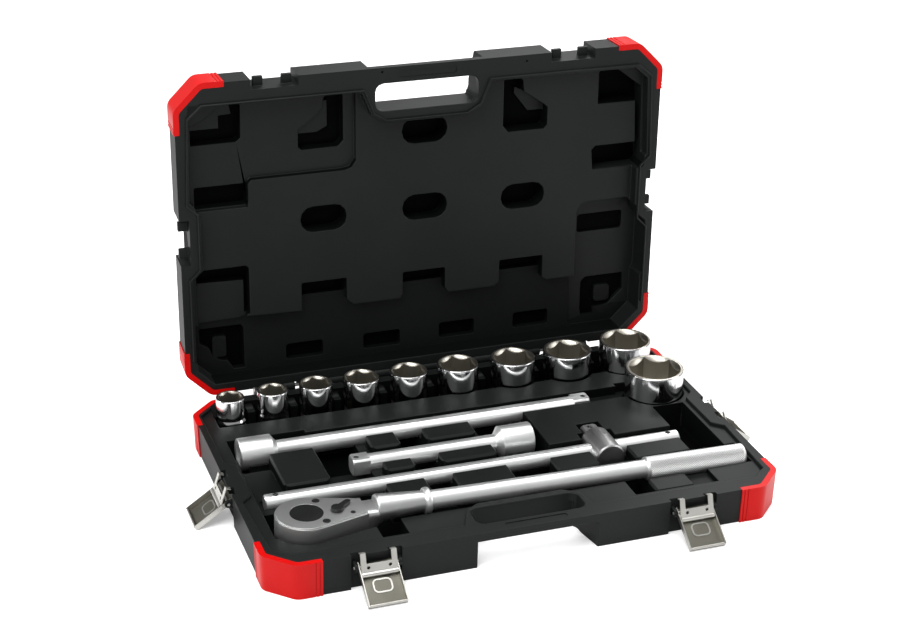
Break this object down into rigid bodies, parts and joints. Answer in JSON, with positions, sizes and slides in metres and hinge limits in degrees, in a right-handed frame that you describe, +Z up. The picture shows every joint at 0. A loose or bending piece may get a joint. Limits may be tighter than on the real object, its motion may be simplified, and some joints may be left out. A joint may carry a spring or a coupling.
{
  "type": "socket wrench set in case",
  "caption": "Hinged hard case with red corner guards and over-centre latches, holding a ratchet, extensions, a sliding T bar and a row of hexagon sockets.",
  "frame": {"origin": "on the floor under the middle of the closed case", "axes": "+X to the right along the case's length, -Y towards the handle and front latches, +Z up"},
  "size_m": [0.6358, 0.4366, 0.409],
  "materials": {
    "case_plastic": "fine texture",
    "guard_plastic": "satin gloss",
    "zinc": "zinc plated",
    "socket_chrome": "polished",
    "satin_chrome": "satin",
    "knurled_chrome": "knurled",
    "dark_steel": "dark phosphate"
  },
  "bodies": {
    "base": {"base_shell": "case_plastic", "guards_base": "guard_plastic", "hinge_pin": "zinc", "latch_base_pins": "zinc"},
    "lid": {"lid_shell": "case_plastic", "guards_lid": "guard_plastic"},
    "socket_22_body": {"socket_22": "socket_chrome"},
    "socket_24_body": {"socket_24": "socket_chrome"},
    "socket_27_body": {"socket_27": "socket_chrome"},
    "socket_30_body": {"socket_30": "socket_chrome"},
    "socket_32_body": {"socket_32": "socket_chrome"},
    "socket_36_body": {"socket_36": "socket_chrome"},
    "socket_38_body": {"socket_38": "socket_chrome"},
    "socket_41_body": {"socket_41": "socket_chrome"},
    "socket_46_body": {"socket_46": "socket_chrome"},
    "socket_50_body": {"socket_50": "socket_chrome"},
    "ratchet": {"ratchet_housing": "satin_chrome", "ratchet_neck": "satin_chrome", "ratchet_cover": "satin_chrome", "ratchet_screws": "dark_steel", "ratchet_rivet": "dark_steel", "ratchet_collar": "satin_chrome", "ratchet_tube": "satin_chrome", "ratchet_grip": "knurled_chrome"},
    "long_extension": {"extension_long": "satin_chrome"},
    "short_extension": {"extension_short": "satin_chrome"},
    "t_bar": {"tbar": "satin_chrome"},
    "long_extension_ball": {"extension_long_ball": "dark_steel"},
    "short_extension_ball": {"extension_short_ball": "dark_steel"},
    "t_bar_ball_left": {"tbar_ball_left": "socket_chrome"},
    "t_bar_ball_right": {"tbar_ball_right": "socket_chrome"},
    "slider": {"slider_head": "dark_steel"},
    "slider_ball": {"slider_ball": "dark_steel"},
    "drive_gear": {"ratchet_gear": "dark_steel"},
    "reverser": {"reverser_lever": "dark_steel", "reverser_pawl": "dark_steel"},
    "ratchet_ball_body": {"ratchet_ball": "socket_chrome"},
    "lever_front_left": {"latch_lever_front_left": "zinc", "latch_pin_front_left": "zinc"},
    "hook_front_left": {"latch_hook_front_left": "zinc"},
    "lever_front_right": {"latch_lever_front_right": "zinc", "latch_pin_front_right": "zinc"},
    "hook_front_right": {"latch_hook_front_right": "zinc"},
    "lever_left": {"latch_lever_left": "zinc", "latch_pin_left": "zinc"},
    "hook_left": {"latch_hook_left": "zinc"},
    "lever_right": {"latch_lever_right": "zinc", "latch_pin_right": "zinc"},
    "hook_right": {"latch_hook_right": "zinc"}
  },
  "joints": [
    {"name": "lid_hinge", "type": "hinge", "parent": "base", "child": "lid", "pos_m": [0, 0.1844, 0.04265], "axis": [-1, 0, 0], "range_deg": [-90, 0]},
    {"name": "socket_22_body_lift", "type": "slide", "parent": "base", "child": "socket_22_body", "axis": [0, 0, 1], "range_m": [0, 0.08]},
    {"name": "socket_24_body_lift", "type": "slide", "parent": "base", "child": "socket_24_body", "axis": [0, 0, 1], "range_m": [0, 0.08]},
    {"name": "socket_27_body_lift", "type": "slide", "parent": "base", "child": "socket_27_body", "axis": [0, 0, 1], "range_m": [0, 0.08]},
    {"name": "socket_30_body_lift", "type": "slide", "parent": "base", "child": "socket_30_body", "axis": [0, 0, 1], "range_m": [0, 0.08]},
    {"name": "socket_32_body_lift", "type": "slide", "parent": "base", "child": "socket_32_body", "axis": [0, 0, 1], "range_m": [0, 0.08]},
    {"name": "socket_36_body_lift", "type": "slide", "parent": "base", "child": "socket_36_body", "axis": [0, 0, 1], "range_m": [0, 0.08]},
    {"name": "socket_38_body_lift", "type": "slide", "parent": "base", "child": "socket_38_body", "axis": [0, 0, 1], "range_m": [0, 0.08]},
    {"name": "socket_41_body_lift", "type": "slide", "parent": "base", "child": "socket_41_body", "axis": [0, 0, 1], "range_m": [0, 0.08]},
    {"name": "socket_46_body_lift", "type": "slide", "parent": "base", "child": "socket_46_body", "axis": [0, 0, 1], "range_m": [0, 0.08]},
    {"name": "socket_50_body_lift", "type": "slide", "parent": "base", "child": "socket_50_body", "axis": [0, 0, 1], "range_m": [0, 0.08]},
    {"name": "ratchet_lift", "type": "slide", "parent": "base", "child": "ratchet", "axis": [0, 0, 1], "range_m": [0, 0.06]},
    {"name": "long_extension_lift", "type": "slide", "parent": "base", "child": "long_extension", "axis": [0, 0, 1], "range_m": [0, 0.05]},
    {"name": "short_extension_lift", "type": "slide", "parent": "base", "child": "short_extension", "axis": [0, 0, 1], "range_m": [0, 0.05]},
    {"name": "t_bar_lift", "type": "slide", "parent": "base", "child": "t_bar", "axis": [0, 0, 1], "range_m": [0, 0.05]},
    {"name": "long_extension_ball_press", "type": "slide", "parent": "long_extension", "child": "long_extension_ball", "axis": [0, 0, 1], "range_m": [-0.0012, 0], "stiffness_N_per_m": 400},
    {"name": "short_extension_ball_press", "type": "slide", "parent": "short_extension", "child": "short_extension_ball", "axis": [0, 0, 1], "range_m": [-0.0012, 0], "stiffness_N_per_m": 400},
    {"name": "t_bar_ball_left_press", "type": "slide", "parent": "t_bar", "child": "t_bar_ball_left", "axis": [0, 0, 1], "range_m": [-0.0012, 0], "stiffness_N_per_m": 400},
    {"name": "t_bar_ball_right_press", "type": "slide", "parent": "t_bar", "child": "t_bar_ball_right", "axis": [0, 0, 1], "range_m": [-0.0012, 0], "stiffness_N_per_m": 400},
    {"name": "slider_along_bar", "type": "slide", "parent": "t_bar", "child": "slider", "axis": [1, 0, 0], "range_m": [-0.002, 0.002]},
    {"name": "slider_ball_press", "type": "slide", "parent": "slider", "child": "slider_ball", "axis": [0, 0, 1], "range_m": [-0.0012, 0], "stiffness_N_per_m": 400},
    {"name": "drive_spin", "type": "hinge", "parent": "ratchet", "child": "drive_gear", "pos_m": [-0.2205, -0.107, 0.0449], "axis": [0.0193, 0, 0.9998], "continuous": true},
    {"name": "reverser_turn", "type": "hinge", "parent": "ratchet", "child": "reverser", "pos_m": [-0.18951, -0.11, 0.0443], "axis": [0.0193, 0, 0.9998], "range_deg": [-72, 0]},
    {"name": "ratchet_ball_body_press", "type": "slide", "parent": "drive_gear", "child": "ratchet_ball_body", "axis": [0.9998, 0, -0.0193], "range_m": [-0.0012, 0], "stiffness_N_per_m": 400},
    {"name": "lever_front_left_swing", "type": "hinge", "parent": "base", "child": "lever_front_left", "pos_m": [-0.17, -0.1837, 0.027], "axis": [-1, 0, 0], "range_deg": [0, 124]},
    {"name": "hook_front_left_swing", "type": "hinge", "parent": "lever_front_left", "child": "hook_front_left", "pos_m": [-0.17, -0.19116, 0.02197], "axis": [-1, 0, 0], "range_deg": [-142.6, 0]},
    {"name": "lever_front_right_swing", "type": "hinge", "parent": "base", "child": "lever_front_right", "pos_m": [0.17, -0.1837, 0.027], "axis": [-1, 0, 0], "range_deg": [0, 124]},
    {"name": "hook_front_right_swing", "type": "hinge", "parent": "lever_front_right", "child": "hook_front_right", "pos_m": [0.17, -0.19116, 0.02197], "axis": [-1, 0, 0], "range_deg": [-142.6, 0]},
    {"name": "lever_left_swing", "type": "hinge", "parent": "base", "child": "lever_left", "pos_m": [-0.2815, -0.004, 0.027], "axis": [0, 1, 0], "range_deg": [0, 124]},
    {"name": "hook_left_swing", "type": "hinge", "parent": "lever_left", "child": "hook_left", "pos_m": [-0.28896, -0.004, 0.02197], "axis": [0, 1, 0], "range_deg": [-142.6, 0]},
    {"name": "lever_right_swing", "type": "hinge", "parent": "base", "child": "lever_right", "pos_m": [0.2815, -0.004, 0.027], "axis": [0, -1, 0], "range_deg": [0, 124]},
    {"name": "hook_right_swing", "type": "hinge", "parent": "lever_right", "child": "hook_right", "pos_m": [0.28896, -0.004, 0.02197], "axis": [0, -1, 0], "range_deg": [-142.6, 0]}
  ],
  "couplings": [
    {"joint": "hook_front_left_swing", "follows": "lever_front_left_swing", "ratio": -1.15},
    {"joint": "hook_front_right_swing", "follows": "lever_front_right_swing", "ratio": -1.15},
    {"joint": "hook_left_swing", "follows": "lever_left_swing", "ratio": -1.15},
    {"joint": "hook_right_swing", "follows": "lever_right_swing", "ratio": -1.15}
  ]
}
